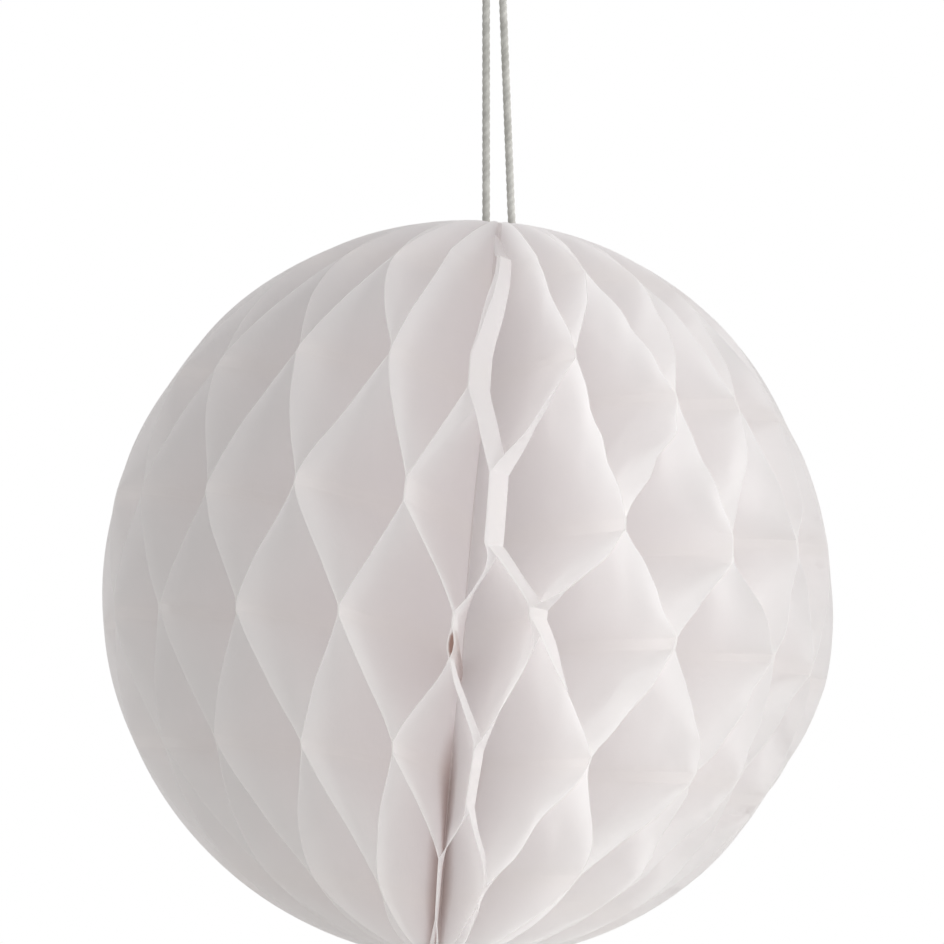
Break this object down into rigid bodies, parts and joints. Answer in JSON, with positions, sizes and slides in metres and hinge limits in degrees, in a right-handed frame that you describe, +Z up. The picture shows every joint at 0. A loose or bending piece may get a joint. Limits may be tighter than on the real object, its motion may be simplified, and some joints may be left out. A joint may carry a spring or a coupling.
{
  "type": "honeycomb paper ball ornament",
  "caption": "Hanging ball of white tissue sheets glued into open diamond cells and fanned round a bound spine, on a doubled cord with a knot.",
  "frame": {"origin": "centre of the paper ball", "axes": "+Z up along the cord as it hangs, -Y the front of the ball, +X to the right of the front; the ball's spine leans 5 degrees from +Z towards +X"},
  "size_m": [0.0997, 0.0998, 0.1516],
  "materials": {
    "tissue_paper": "matt white tissue paper, slightly see-through",
    "cotton_cord": "matt off-white twisted cotton"
  },
  "bodies": {
    "root": {"honeycomb_ball": "tissue_paper", "cord_strand_left": "cotton_cord", "cord_strand_right": "cotton_cord", "cord_knot": "cotton_cord"}
  },
  "joints": []
}
